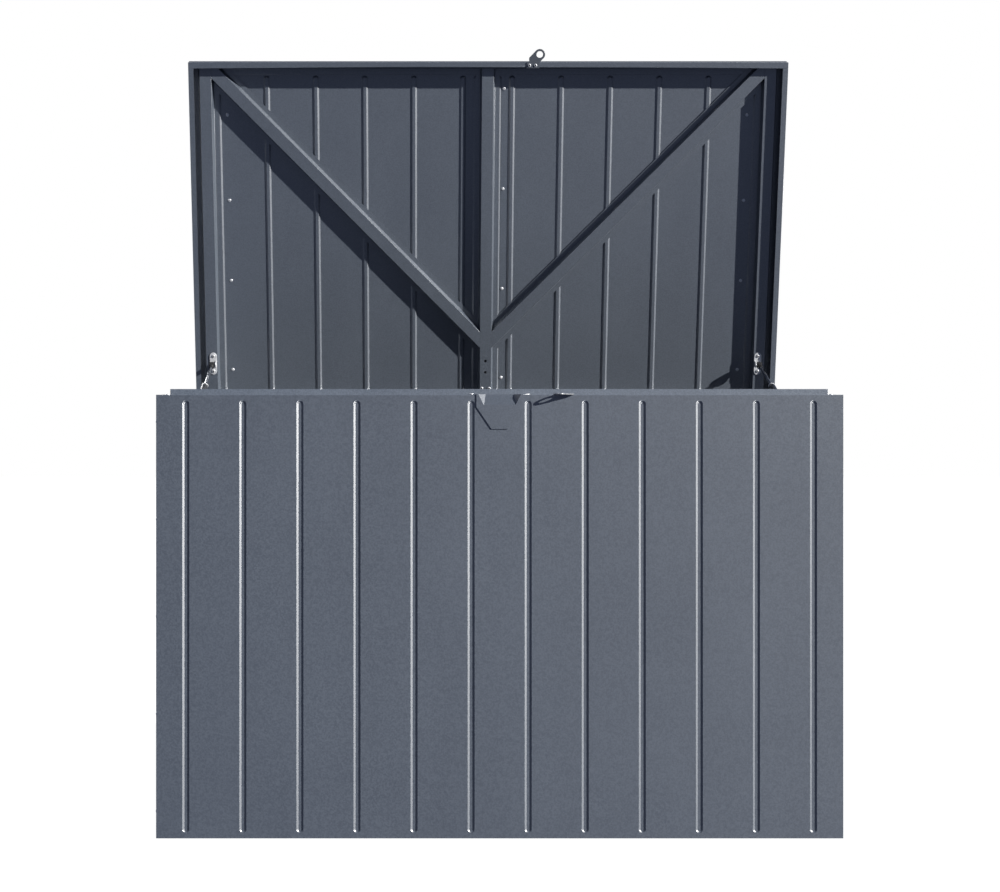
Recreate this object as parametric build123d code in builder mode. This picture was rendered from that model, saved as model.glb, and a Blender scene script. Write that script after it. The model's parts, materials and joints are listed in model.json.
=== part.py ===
from build123d import *
import os
from math import asin, atan, atan2, cos, degrees, hypot, radians, sin

# Deck storage box of bolted sheet steel, shown with its lid held open by two gas struts.
# Millimetres, +Z up. Origin: centre of the floor panel's underside, on the ground.
# +X is to the right seen from the front, +Y runs from the front to the hinges at the back.

os.makedirs("parts", exist_ok=True)

# Driving dimensions: body
box_width = 1580.0
box_depth = 910.0
box_height = 1020.0  # ground to the top face of the rails
sheet = 1.0  # sheet steel of every panel, rail and post

rib_pitch = 131.2
rib_width = 16.0  # mouth of a pressed rib on the outer face
rib_depth = 3.0
rib_flank = 4.5  # sloping side of a rib, measured along the sheet
rib_edge = 50.0  # least room between the last rib's centre line and the edge of its sheet
rib_margin = 12.0  # flat sheet left beyond each end of a wall rib

return_width = 20.0  # panel edge folded in under the top rail
corner_return = 25.0  # front and rear panel edges folded round the sides
rail_width = 30.0
upstand_height = 14.0
corner_leg = 30.0  # corner post angle
floor_leg = 25.0  # angle between wall and floor
floor_rise = 10.0  # its upright edge stays below the wall ribs
side_post_y = 0.0  # the side posts stand halfway along the sides

# Driving dimensions: lid
lid_overhang = 6.0  # lid beyond the body at the sides and the front
open_angle = 76.5
closing_gap = 6.0  # lip to rail with the lid shut, room for both padlock eyelets
rim_depth = 43.5  # lip face to the inner face of the skin
skirt_height = 12.0  # skin edge folded down outside the rims
front_lip = 16.0
side_lip = 14.0
rim_flange = 34.0  # inner flange of the front and side rims
rear_flange = 14.0
rib_start = 3.0  # from a rim flange to the end of a lid rib
lap_edge = 48.0  # where the left skin's lap ends, right of the centre
lap_start = 39.0  # where the right skin begins, beside the pad under the centre post
pad_room = 0.5  # flat pad beyond the feet of the centre post

# Driving dimensions: top-hat posts and braces
hat_face = 31.0
hat_slope = 4.5  # how far each flank leans out
hat_height = 26.0  # face above the sheet it stands on
hat_foot = 12.0
side_post_inset = 44.0  # centre line of the lid's side posts from the lid's edge
centre_post_holes = (81.0, 113.0)  # open holes in the centre post, from the hinge line
post_hole = 3.6
brace_base = 156.0  # where a brace's centre line meets the lid's centre line, from the hinge
brace_inset = 5.0  # where it meets a side post's centre line, from the lid's front edge

# Driving dimensions: hinges
hinge_spacing = 520.0
hinge_length = 80.0
leaf = 2.0
leaf_height = 33.0
knuckle_radius = 5.0
pin_radius = 2.5
pin_fit = 0.05
knuckle_gap = 0.5
knuckle_weld = 1.0  # how far a leaf runs into its knuckles
pin_head_radius = 4.0
pin_head = 1.5

# Driving dimensions: finger plate and eyelets
plate_proud = 2.4
plate_half_top = 53.5
plate_half_foot = 19.0
plate_side = 29.0  # straight part of the plate's edges
plate_height = 80.0
tab_half = 75.0
tab_sheet = 1.2
scoop_half_mouth = 49.0
scoop_half_floor = 32.0
scoop_half_foot = 37.0
scoop_depth = 18.0
scoop_height = 24.0
scoop_foot_draw = 1.0  # how far each side of the scoop closes in at its foot
scoop_clear = 2.5  # cut-out in the panel and rail beyond the scoop
scoop_foot_clear = 3.0  # the same below the scoop's foot
eyelet_sheet = 2.0
eyelet_ring = 14.2
eyelet_hole = 8.6
eyelet_x = 136.0
lid_eyelet_reach = 20.5  # ring centre beyond the rim it is fixed to
front_eyelet_reach = 18.0  # ring centre beyond the front panel
front_eyelet_base = (-6.0, 34.0)  # either side of the ring centre
lid_eyelet_base = (-34.0, 0.0)
lid_eyelet_neck = -28.0  # left edge of its neck
front_eyelet_screws = (-1.0, 11.0)
lid_eyelet_screws = (-27.0, -11.0)
eyelet_screw_in = 24.0  # front eyelet screws from the panel face
eyelet_shoulder = 45.0  # where the neck's upper edge meets the ring, in degrees
eyelet_throat = 30.0  # where its lower edge does

# Driving dimensions: gas struts
strut_inset = 46.0  # strut axis from the lid's side
lid_ball_r = 106.0  # hinge line to lid ball, along the lid
ball_stand = 20.0  # lid ball off the lid post's face
wall_ball_drop = 45.0  # wall ball below the hinge line
ball_radius = 5.0
ball_fit = 0.05
socket_radius = 8.0
socket_half = 6.5
socket_neck = 5.5
socket_length = 30.0
rod_radius = 4.0
rod_fit = 0.1
tube_radius = 9.0
tube_wall = 1.5
tube_length = 235.0
tube_end_wall = 3.0
tube_gland = 6.0  # solid length the rod passes through
rod_overlap = 70.0  # rod kept inside the tube with the lid open
stud_radius = 4.0
open_pivot_gap = 0.4
bracket_sheet = 2.5
bracket_inset = 48.0  # lid bracket's centre line from the lid's side
socket_gap = 2.5  # ball socket to the lid bracket's tab
bracket_lobe = 9.5
bracket_pitch = 42.0
tab_half_width = 8.0

# Driving dimensions: fasteners and gaps
screw_head = 4.5
screw_head_height = 2.0
screw_shank = 2.0
screw_length = 7.0
screw_fit = 0.15
corner_screw_in = 25.0  # rail corner screws from the box's sides
corner_screw_rows = (0.06, 0.28, 0.5, 0.72, 0.94)  # shares of the box's height
corner_screw_share = 0.55  # share of the folded corner
tab_screw_out = 16.0  # finger plate screws beyond the scoop
leaf_screw_share = 0.7  # outer hinge screws' spacing as a share of the leaf
lap_rivet_in = 4.0
lap_rivet_rows = (62.0, 310.0, 582.0, 850.0)  # from the hinge line
skin_rivet_in = 99.0  # outer skin rivets from the lid's sides
skin_rivet_rows = (84.0, 332.0, 551.0, 780.0)
centre_post_screws = ((-10.0, 36.0), (10.0, 36.0))  # across, from the hinge line
gap = 0.2  # between pieces that are laid side by side

# Worked out from the above
half_w = box_width / 2
half_d = box_depth / 2
panel_top = box_height - sheet
side_face = half_w - sheet  # outer face of the side panels, behind the corner returns
hinge_y = half_d + leaf / 2 + knuckle_radius
hinge_z = box_height + closing_gap / 2
lid_half = half_w + lid_overhang
lid_front = -(hinge_y + half_d + lid_overhang)  # closed, from the hinge line
lid_back = half_d - hinge_y
lip_z = closing_gap / 2
skin_z = lip_z + rim_depth  # inner face of the skin
web_half = lid_half - sheet  # rims stand inside the skirt
web_front = lid_front + sheet
web_back = lid_back - sheet
rib_taper = degrees(atan(rib_flank / rib_depth))
side_post_x = lid_half - side_post_inset
strut_x = lid_half - strut_inset
bracket_x = lid_half - bracket_inset
brace_corner = -lid_front - brace_inset
half_ribs = int((half_w - rib_edge) / rib_pitch + 0.5)  # ribs either side of the centre
side_ribs = int((box_depth - 2 * rib_edge) / rib_pitch) + 1
floor_ribs = half_ribs // 2 * 2
skew = hypot(rib_depth, rib_flank) / rib_depth  # sheet thickness seen along the sheet on a flank
bump_width = rib_width + 2 * sheet * skew - 2 * sheet * rib_flank / rib_depth
hat_half = hat_face / 2
hat_base = hat_half + hat_slope
hat_outer = hat_base + hat_foot
hat_lean = hat_slope / (hat_height - rib_depth - sheet)
hat_skew = hypot(1, hat_lean)

# The lid is drawn shut, with the hinge line along X through its origin, then swung open.
lid_swing = Location((0, hinge_y, hinge_z), (-open_angle, 0, 0))


def save(piece, node, place=None):
    """Put a finished piece in its place, label it and write it."""
    if place is not None:
        piece.part = piece.part.moved(place)
    piece.part.label = node
    export_step(piece.part, f"parts/{node}.step")


def block(x0, x1, y0, y1, z0, z1, mode=Mode.ADD):
    """Add or cut a rectangular block given by its two corners."""
    with Locations(((x0 + x1) / 2, (y0 + y1) / 2, (z0 + z1) / 2)):
        Box(abs(x1 - x0), abs(y1 - y0), abs(z1 - z0), mode=mode)


def ribbed_sheet(outer_face, width, height, rib_length, rib_count, pitch=rib_pitch, shift=(0.0, 0.0)):
    """Flat sheet with pressed ribs. outer_face is its outer plane, Z pointing into the object."""
    with BuildPart() as panel:
        with BuildSketch(outer_face):
            Rectangle(width, height)
        extrude(amount=sheet)
        with BuildSketch(outer_face.offset(sheet)):
            with Locations(shift):
                with GridLocations(pitch, 0, rib_count, 1):
                    SlotOverall(rib_length - rib_width + bump_width, bump_width, rotation=90)
        extrude(amount=rib_depth, taper=rib_taper)
        with BuildSketch(outer_face):
            with Locations(shift):
                with GridLocations(pitch, 0, rib_count, 1):
                    SlotOverall(rib_length, rib_width, rotation=90)
        extrude(amount=rib_depth, taper=rib_taper, mode=Mode.SUBTRACT)
    return panel.part


def drill(seats):
    """Screw holes through whatever sheets lie at the given seats."""
    if seats:
        with Locations(*seats):
            Cylinder(screw_shank + screw_fit, 2 * screw_length, mode=Mode.SUBTRACT)


def screw_group(seats, length=screw_length):
    """Pan-head screws, each standing on its seat with the head along the seat's Z."""
    on_top = (Align.CENTER, Align.CENTER, Align.MIN)
    below = (Align.CENTER, Align.CENTER, Align.MAX)
    with BuildPart() as screws:
        with Locations(*seats):
            Cylinder(screw_head, screw_head_height, align=on_top)
            Cylinder(screw_shank, length, align=below)
        heads = screws.edges().filter_by(GeomType.CIRCLE)
        rims = [edge for edge in heads if abs(edge.radius - screw_head) < screw_fit]
        tops = [edge for edge in rims if is_head_top(edge, seats)]
        fillet(tops, radius=screw_head_height / 2)
    return screws


def is_head_top(edge, seats):
    """True for the circle at the top of a screw head, not the one on its seat."""
    centre = edge.arc_center
    nearest = min(seats, key=lambda seat: (seat.position - centre).length)
    return (nearest.position - centre).length > screw_head_height / 2


def seat(x, y, z, direction):
    """Where a screw head rests, and which way the head points."""
    return Plane(origin=(x, y, z), z_dir=direction).location


def spread(length, count):
    """Evenly spaced places centred on zero."""
    return [length * (i / (count - 1) - 0.5) for i in range(count)]


# Screw seats
rail_mid = rail_width / 2
flange_seats = [
    seat(sx * (half_w - corner_screw_in), sy * (half_d - rail_mid), box_height, (0, 0, 1))
    for sx in (-1, 1)
    for sy in (-1, 1)
]
flange_seats += [
    seat(sx * (half_w - return_width / 2 - sheet), y, box_height, (0, 0, 1))
    for sx in (-1, 1)
    for y in spread(box_depth - 4 * rail_width, 3)
]
flange_seats += [
    seat(x, half_d - return_width / 2 - sheet, box_height, (0, 0, 1))
    for x in spread(box_width - 6 * rail_width, 5)
]
tab_top = box_height + tab_sheet
tab_screw_x = scoop_half_mouth + tab_screw_out
tab_seats = [seat(sx * tab_screw_x, -half_d + rail_mid, tab_top, (0, 0, 1)) for sx in (-1, 1)]
front_eyelet_top = box_height + eyelet_sheet
front_eyelet_seats = [
    seat(eyelet_x + dx, -half_d + eyelet_screw_in, front_eyelet_top, (0, 0, 1))
    for dx in front_eyelet_screws
]
corner_z = [box_height * share for share in corner_screw_rows]
corner_seats = [
    seat(sx * half_w, sy * (half_d - corner_return * corner_screw_share), z, (sx, 0, 0))
    for sx in (-1, 1)
    for sy in (-1, 1)
    for z in corner_z
]
hinge_x = [-hinge_spacing, 0.0, hinge_spacing]
leaf_face_y = half_d + leaf
leaf_screw = leaf_height / 2
leaf_dx = spread(hinge_length * leaf_screw_share, 3)
box_hinge_seats = [
    seat(x + dx, leaf_face_y, hinge_z - leaf_screw, (0, 1, 0)) for x in hinge_x for dx in leaf_dx
]

# Lid seats are given with the lid shut, from the hinge line.
lid_hinge_seats = [
    seat(x + dx, web_back + leaf, leaf_screw, (0, 1, 0)) for x in hinge_x for dx in leaf_dx
]
rivet_seats = [seat(lap_edge - lap_rivet_in, -r, skin_z - sheet, (0, 0, -1)) for r in lap_rivet_rows]
rivet_seats += [
    seat(sx * (lid_half - skin_rivet_in), -r, skin_z, (0, 0, -1)) for sx in (-1, 1) for r in skin_rivet_rows
]
hat_face_z = skin_z - hat_height
post_seats = [seat(x, -r, hat_face_z, (0, 0, -1)) for x, r in centre_post_screws]
lid_eyelet_y = web_front + front_lip / 2
lid_eyelet_seats = [
    seat(eyelet_x + dx, lid_eyelet_y, lip_z - eyelet_sheet, (0, 0, -1)) for dx in lid_eyelet_screws
]
bracket_screws = (-bracket_pitch / 2, bracket_pitch / 2)

# Gas strut geometry, seen from the side: y forward is negative
lid_ball_z = hat_face_z - ball_stand  # closed, from the hinge line
swing = radians(open_angle)
ball_y = hinge_y - lid_ball_r * cos(swing) + lid_ball_z * sin(swing)
ball_z = hinge_z + lid_ball_r * sin(swing) + lid_ball_z * cos(swing)
wall_ball_y = side_post_y
wall_ball_z = hinge_z - wall_ball_drop
strut_open = hypot(ball_y - wall_ball_y, ball_z - wall_ball_z)
strut_rise = degrees(atan2(ball_z - wall_ball_z, ball_y - wall_ball_y))
strut_shut = hypot(hinge_y - lid_ball_r - wall_ball_y, lid_ball_z + wall_ball_drop)
strut_rise_shut = degrees(atan2(lid_ball_z + wall_ball_drop, hinge_y - lid_ball_r - wall_ball_y))
print(f"hinge line y {hinge_y:.3f} z {hinge_z:.3f}, wall ball y {wall_ball_y:.3f} z {wall_ball_z:.3f}")
print(f"strut length {strut_open:.3f} open, {strut_shut:.3f} shut")
print(f"strut rise {strut_rise:.4f} open, {strut_rise_shut:.4f} shut")

# Body panels
wall_rib = panel_top - 2 * rib_margin
front_inner = half_d - sheet
scoop_cut = scoop_half_mouth + scoop_clear
scoop_cut_low = panel_top - scoop_height - scoop_foot_clear
scoop_cut_in = scoop_depth + scoop_clear


def end_wall(facing):
    """Front (facing -1) or rear (+1) panel with its folded edges."""
    outer_face = Plane(origin=(0, facing * half_d, panel_top / 2), x_dir=(1, 0, 0), z_dir=(0, -facing, 0))
    with BuildPart() as wall:
        add(ribbed_sheet(outer_face, box_width, panel_top, wall_rib, 2 * half_ribs))
        edge = side_face - sheet - gap
        fold = facing * (half_d - return_width - sheet)
        block(-edge, edge, facing * half_d, fold, panel_top - sheet, panel_top)
        turned = facing * (half_d - corner_return)
        for side in (-1, 1):
            block(side * half_w, side * side_face, facing * half_d, turned, 0, panel_top)
    return wall


with BuildPart() as front_panel:
    add(end_wall(-1).part)
    block(-scoop_cut, scoop_cut, -half_d, -front_inner, scoop_cut_low, panel_top, Mode.SUBTRACT)
    past_fold = -half_d + 2 * rail_width
    block(-scoop_cut, scoop_cut, -half_d, past_fold, panel_top - sheet, panel_top, Mode.SUBTRACT)
    drill(flange_seats + tab_seats + front_eyelet_seats + corner_seats)
save(front_panel, "front_panel")

with BuildPart() as rear_panel:
    add(end_wall(1).part)
    drill(flange_seats + corner_seats + box_hinge_seats)
save(rear_panel, "rear_panel")

side_length = 2 * front_inner
for side, name in ((-1, "left"), (1, "right")):
    outer_face = Plane(origin=(side * side_face, 0, panel_top / 2), x_dir=(0, 1, 0), z_dir=(-side, 0, 0))
    with BuildPart() as side_panel:
        add(ribbed_sheet(outer_face, side_length, panel_top, wall_rib, side_ribs))
        inner = side_face - sheet - return_width
        reach = front_inner - return_width - sheet - gap
        block(side * inner, side * side_face, -reach, reach, panel_top - sheet, panel_top)
        drill(flange_seats + corner_seats)
    save(side_panel, f"{name}_side_panel")

# Corner posts, rails, floor
post_top = panel_top - sheet
for end, end_name in ((-1, "front"), (1, "rear")):
    for side, side_name in ((-1, "left"), (1, "right")):
        with BuildPart() as corner_post:
            x_out = side * (side_face - sheet)
            y_out = end * front_inner
            block(x_out, x_out - side * corner_leg, y_out, y_out - end * sheet, sheet, post_top)
            block(x_out, x_out - side * sheet, y_out, y_out - end * corner_leg, sheet, post_top)
            drill(corner_seats)
        save(corner_post, f"{end_name}_{side_name}_corner_post")

upstand_x = half_w - rail_width
upstand_top = box_height + upstand_height
upstand_y = half_d - rail_width
for end, name in ((-1, "front"), (1, "rear")):
    with BuildPart() as top_rail:
        block(-half_w, half_w, end * half_d, end * upstand_y, panel_top, box_height)
        block(-upstand_x, upstand_x, end * upstand_y, end * (upstand_y + sheet), panel_top, upstand_top)
        if end < 0:
            cut_back = -half_d + scoop_cut_in
            block(-scoop_cut, scoop_cut, -half_d, cut_back, panel_top, box_height, Mode.SUBTRACT)
        drill(flange_seats + tab_seats + front_eyelet_seats)
    save(top_rail, f"{name}_top_rail")

for side, name in ((-1, "left"), (1, "right")):
    with BuildPart() as top_rail:
        reach = upstand_y - gap
        block(side * half_w, side * upstand_x, -reach, reach, panel_top, box_height)
        block(side * upstand_x, side * (upstand_x + sheet), -reach, reach, panel_top, upstand_top)
        drill(flange_seats)
    save(top_rail, f"{name}_top_rail")

floor_x = side_face - sheet - gap
floor_y = front_inner - gap
with BuildPart() as floor_panel:
    under = Plane(origin=(0, 0, 0), x_dir=(1, 0, 0), z_dir=(0, 0, 1))
    floor_rib = 2 * (floor_y - floor_leg - 3 * rib_margin)
    add(ribbed_sheet(under, 2 * floor_x, 2 * floor_y, floor_rib, floor_ribs, 2 * rib_pitch))
save(floor_panel, "floor_panel")

for end, name in ((-1, "front"), (1, "rear")):
    with BuildPart() as floor_angle:
        reach = side_face - sheet - corner_leg - gap
        wall = end * front_inner
        block(-reach, reach, wall, wall - end * floor_leg, sheet, 2 * sheet)
        block(-reach, reach, wall, wall - end * sheet, sheet, sheet + floor_rise)
    save(floor_angle, f"{name}_floor_angle")
for side, name in ((-1, "left"), (1, "right")):
    with BuildPart() as floor_angle:
        reach = front_inner - corner_leg - gap
        wall = side * (side_face - sheet)
        block(wall, wall - side * floor_leg, -reach, reach, sheet, 2 * sheet)
        block(wall, wall - side * sheet, -reach, reach, sheet, sheet + floor_rise)
    save(floor_angle, f"{name}_floor_angle")

# Top-hat posts and braces


def hat(section, length, foot_level=rib_depth):
    """A top-hat post drawn on its section plane and run out along that plane's Z."""
    inner = sheet * hat_skew - sheet * hat_lean
    foot_top = foot_level + sheet
    foot = [(hat_outer, foot_level), (hat_outer, foot_top)]
    right_outer = foot + [(hat_base, foot_top), (hat_half, hat_height)]
    left_outer = [(-x, y) for x, y in reversed(right_outer)]
    left_inner = [(-hat_base + inner, foot_level), (-hat_half + inner, hat_height - sheet)]
    right_inner = [(-x, y) for x, y in reversed(left_inner)]
    with BuildPart() as post:
        with BuildSketch(section):
            with BuildLine():
                Polyline(*right_outer, *left_outer, *left_inner, *right_inner, close=True)
            make_face()
        extrude(amount=length)
    return post.part


def hat_envelope(section, length):
    """The space a top-hat post takes up, with a little room round it, to trim a brace against."""
    with BuildPart() as space:
        with BuildSketch(section):
            with BuildLine():
                Polyline(
                    (hat_outer + gap, 0),
                    (hat_outer + gap, rib_depth + sheet + gap),
                    (hat_base + gap, rib_depth + sheet + gap),
                    (hat_half + gap, hat_height + gap),
                    (-hat_half - gap, hat_height + gap),
                    (-hat_base - gap, rib_depth + sheet + gap),
                    (-hat_outer - gap, rib_depth + sheet + gap),
                    (-hat_outer - gap, 0),
                    close=True,
                )
            make_face()
        extrude(amount=length)
    return space.part


def wall_bracket_holes(side, out=0.0):
    """Seats of a wall bracket's two screws, on the side post or that far out from it."""
    x = side * (post_face_x - out)
    return [seat(x, side_post_y, wall_ball_z + dz, (-side, 0, 0)) for dz in bracket_screws]


# Side posts of the body: they stand on the side panels and carry the lower ends of the struts.
post_face_x = side_face - sheet - hat_height
post_low = sheet + floor_rise + gap
for side, name in ((-1, "left"), (1, "right")):
    wall_x = side * (side_face - sheet)
    section = Plane(origin=(wall_x, side_post_y, post_low), x_dir=(0, side, 0), z_dir=(0, 0, 1))
    with BuildPart() as side_post:
        add(hat(section, post_top - gap - post_low, foot_level=0))
        drill(wall_bracket_holes(side))
    save(side_post, f"{name}_side_post")

# Lid, drawn shut from the hinge line
flange_low = skin_z - rib_depth  # posts, braces and rib tops all meet at this level
rim_ends = (
    (web_front, 1, front_lip, rim_flange, "front"),
    (web_back, -1, side_lip, rear_flange, "rear"),
)
for end, inward, lip, flange, name in rim_ends:
    with BuildPart() as rim:
        block(-web_half, web_half, end, end + inward * sheet, lip_z, skin_z)
        block(-web_half, web_half, end, end + inward * lip, lip_z, lip_z + sheet)
        block(-web_half, web_half, end, end + inward * flange, flange_low, flange_low + sheet)
        turned = end + inward * flange
        block(-web_half, web_half, turned, turned - inward * sheet, flange_low, skin_z)
        drill(lid_hinge_seats + lid_eyelet_seats)
    save(rim, f"lid_{name}_rim", lid_swing)

flange_front = web_front + rim_flange + gap
flange_back = web_back - rear_flange - gap
for side, name in ((-1, "left"), (1, "right")):
    web = side * web_half
    turned = side * (web_half - rim_flange)
    with BuildPart() as rim:
        block(web, web - side * sheet, web_front + sheet + gap, web_back - sheet - gap, lip_z, skin_z)
        lip_ends = (web_front + front_lip + gap, web_back - side_lip - gap)
        block(web, web - side * side_lip, *lip_ends, lip_z, lip_z + sheet)
        block(web, turned, flange_front, flange_back, flange_low, flange_low + sheet)
        block(turned, turned + side * sheet, flange_front, flange_back, flange_low, skin_z)
        for end, inward, lip, flange, _ in rim_ends:
            near = end + inward * (sheet + gap)
            far = end + inward * (flange + gap)
            lip_end = end + inward * lip
            block(web, web - side * sheet, near, lip_end, lip_z, lip_z + sheet + gap, Mode.SUBTRACT)
            block(web, web - side * sheet, near, far, flange_low - gap, skin_z, Mode.SUBTRACT)
    save(rim, f"lid_{name}_rim", lid_swing)

lid_mid_y = (lid_front + lid_back) / 2
rib_front = web_front + rim_flange + rib_start
rib_back = web_back - rear_flange - rib_start
lid_rib = rib_back - rib_front
rib_mid_y = (rib_front + rib_back) / 2
lap_main = lap_start - gap
pad_mouth = 2 * (hat_outer + rib_flank + pad_room)
rib_grow = bump_width - rib_width
for side, name in ((-1, "left"), (1, "right")):
    x_far = side * lid_half
    x_near = lap_main if side < 0 else lap_start
    centre = (x_far + x_near) / 2
    outer_face = Plane(origin=(centre, lid_mid_y, skin_z + sheet), x_dir=(1, 0, 0), z_dir=(0, 0, -1))
    skirt_low = skin_z + sheet - skirt_height
    with BuildPart() as lid_skin:
        shift = (side * half_ribs / 2 * rib_pitch - centre, lid_mid_y - rib_mid_y)
        skin_size = (abs(x_far - x_near), lid_back - lid_front)
        add(ribbed_sheet(outer_face, *skin_size, lid_rib, half_ribs, rib_pitch, shift))
        block(x_near, x_far, lid_front, lid_front + sheet, skirt_low, skin_z)
        block(x_near, x_far, lid_back, lid_back - sheet, skirt_low, skin_z)
        block(x_far, x_far - side * sheet, lid_front, lid_back, skirt_low, skin_z)
        if side < 0:
            pad_face = Plane(origin=(0, rib_mid_y, skin_z), x_dir=(1, 0, 0), z_dir=(0, 0, -1))
            with BuildSketch(pad_face):
                RectangleRounded(pad_mouth + rib_grow, lid_rib + rib_grow, bump_width / 2)
            extrude(amount=rib_depth, taper=rib_taper)
            with BuildSketch(pad_face.offset(-sheet)):
                RectangleRounded(pad_mouth, lid_rib, rib_width / 2)
            extrude(amount=rib_depth, taper=rib_taper, mode=Mode.SUBTRACT)
            lap_y = (flange_front, flange_back)
            block(pad_mouth / 2 + gap, lap_edge, *lap_y, skin_z - sheet, skin_z)
        drill(rivet_seats)
    save(lid_skin, f"lid_skin_{name}", lid_swing)

post_front = web_front + sheet + gap
post_long = web_back - sheet - gap - post_front
bracket_top_seats = [
    seat(side * bracket_x, -lid_ball_r + dy, hat_face_z, (0, 0, -1))
    for side in (-1, 1)
    for dy in bracket_screws
]
for x, name in ((-side_post_x, "left"), (0, "centre"), (side_post_x, "right")):
    section = Plane(origin=(x, post_front, skin_z), x_dir=(1, 0, 0), z_dir=(0, 1, 0))
    with BuildPart() as lid_post:
        add(hat(section, post_long))
        drill(post_seats + bracket_top_seats)
        if x == 0:
            with Locations(*[seat(x, -r, hat_face_z, (0, 0, -1)) for r in centre_post_holes]):
                Cylinder(post_hole, 2 * screw_length, mode=Mode.SUBTRACT)
    save(lid_post, f"lid_{name}_post", lid_swing)

brace_run = hypot(side_post_x, brace_corner - brace_base)
for side, name in ((-1, "left"), (1, "right")):
    along = Vector(side * side_post_x, brace_base - brace_corner, 0).normalized()
    across = Vector(along.Y, -along.X, 0)
    section = Plane(origin=(0, -brace_base, skin_z), x_dir=across, z_dir=along)
    centre_section = Plane(origin=(0, post_front, skin_z), x_dir=(1, 0, 0), z_dir=(0, 1, 0))
    side_section = Plane(origin=(side * side_post_x, post_front, skin_z), x_dir=(1, 0, 0), z_dir=(0, 1, 0))
    with BuildPart() as brace:
        add(hat(section, brace_run))
        block(0, side * side_post_x, post_front, lid_back, lip_z, skin_z, Mode.INTERSECT)
        add(hat_envelope(centre_section, post_long), mode=Mode.SUBTRACT)
        add(hat_envelope(side_section, post_long), mode=Mode.SUBTRACT)
    save(brace, f"lid_{name}_brace", lid_swing)

# Hinges
knuckle = hinge_length / 3
along_x = (0, 90, 0)


def barrel(x0, x1, radius, mode=Mode.ADD):
    """A round length along the hinge line."""
    with Locations(((x0 + x1) / 2, 0, 0)):
        Cylinder(radius, abs(x1 - x0), rotation=along_x, mode=mode)


for x, name in zip(hinge_x, ("left", "centre", "right")):
    x0, x1 = x - hinge_length / 2, x + hinge_length / 2
    inner0, inner1 = x - knuckle / 2, x + knuckle / 2
    bore = pin_radius + pin_fit
    with BuildPart() as box_leaf:
        block(x0, x1, lid_back, lid_back + leaf, -leaf_height, -lip_z)
        for a, b in ((x0, inner0 - knuckle_gap), (inner1 + knuckle_gap, x1)):
            barrel(a, b, knuckle_radius)
            block(a, b, lid_back, -bore - knuckle_weld, -lip_z, knuckle_weld)
        barrel(x0, x1, bore, Mode.SUBTRACT)
        drill([seat(x + dx, lid_back + leaf, -leaf_screw, (0, 1, 0)) for dx in leaf_dx])
    save(box_leaf, f"{name}_hinge_box_leaf", Location((0, hinge_y, hinge_z)))
    with BuildPart() as lid_leaf:
        block(x0, x1, web_back, web_back + leaf, lip_z, leaf_height)
        barrel(inner0, inner1, knuckle_radius)
        block(inner0, inner1, web_back, -bore - knuckle_weld, -knuckle_weld, lip_z)
        barrel(x0, x1, bore, Mode.SUBTRACT)
        drill(lid_hinge_seats)
    save(lid_leaf, f"{name}_hinge_lid_leaf", lid_swing)

with BuildPart() as hinge_pins:
    for x in hinge_x:
        x0, x1 = x - hinge_length / 2, x + hinge_length / 2
        barrel(x0, x1, pin_radius)
        barrel(x0 - pin_head, x0, pin_head_radius)
        barrel(x1, x1 + pin_head, pin_head_radius)
save(hinge_pins, "hinge_pins", Location((0, hinge_y, hinge_z)))

# Finger plate and padlock eyelets
plate_face = -half_d - plate_proud


def scoop(grow, foot_depth):
    """The finger scoop as a solid, grown by a wall thickness."""
    top = [
        (-scoop_half_mouth - grow, plate_face),
        (scoop_half_mouth + grow, plate_face),
        (scoop_half_floor + grow, plate_face + scoop_depth + grow),
        (-scoop_half_floor - grow, plate_face + scoop_depth + grow),
    ]
    foot = [
        (-scoop_half_foot - grow, plate_face),
        (scoop_half_foot + grow, plate_face),
        (scoop_half_foot + grow - scoop_foot_draw, plate_face + foot_depth),
        (-scoop_half_foot - grow + scoop_foot_draw, plate_face + foot_depth),
    ]
    with BuildPart() as hollow:
        for height, outline in ((tab_top, top), (tab_top - scoop_height - grow, foot)):
            with BuildSketch(Plane.XY.offset(height)):
                with BuildLine():
                    Polyline(*outline, close=True)
                make_face()
        loft(ruled=True)
    return hollow.part


with BuildPart() as finger_plate:
    with BuildSketch(Plane(origin=(0, -half_d, 0), x_dir=(1, 0, 0), z_dir=(0, -1, 0))):
        with BuildLine():
            Polyline(
                (-plate_half_top, tab_top),
                (plate_half_top, tab_top),
                (plate_half_top, tab_top - plate_side),
                (plate_half_foot, tab_top - plate_height),
                (-plate_half_foot, tab_top - plate_height),
                (-plate_half_top, tab_top - plate_side),
                close=True,
            )
        make_face()
    extrude(amount=plate_proud)
    tab_back = -half_d + rail_width - sheet - gap
    block(-tab_half, tab_half, -half_d, tab_back, box_height, tab_top)
    add(scoop(tab_sheet, plate_proud), mode=Mode.ADD)
    add(scoop(0, plate_proud / 3), mode=Mode.SUBTRACT)
    drill(tab_seats)
save(finger_plate, "finger_plate")


def eyelet_neck(face, left, right, ring_out):
    """Neck and ring of a padlock eyelet, drawn on its upper face; sketch Y runs out from the edge."""
    shoulder = eyelet_ring * cos(radians(eyelet_shoulder))
    throat = eyelet_ring * cos(radians(eyelet_throat))
    with BuildPart() as neck:
        with BuildSketch(face):
            with BuildLine():
                Polyline(
                    (left, 0),
                    (left, ring_out - eyelet_hole),
                    (-shoulder, ring_out + shoulder),
                    (throat, ring_out - eyelet_ring * sin(radians(eyelet_throat))),
                    (right, 0),
                    close=True,
                )
            make_face()
            with Locations((0, ring_out)):
                Circle(eyelet_ring)
                Circle(eyelet_hole, mode=Mode.SUBTRACT)
        extrude(amount=eyelet_sheet)
    return neck.part


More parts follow.
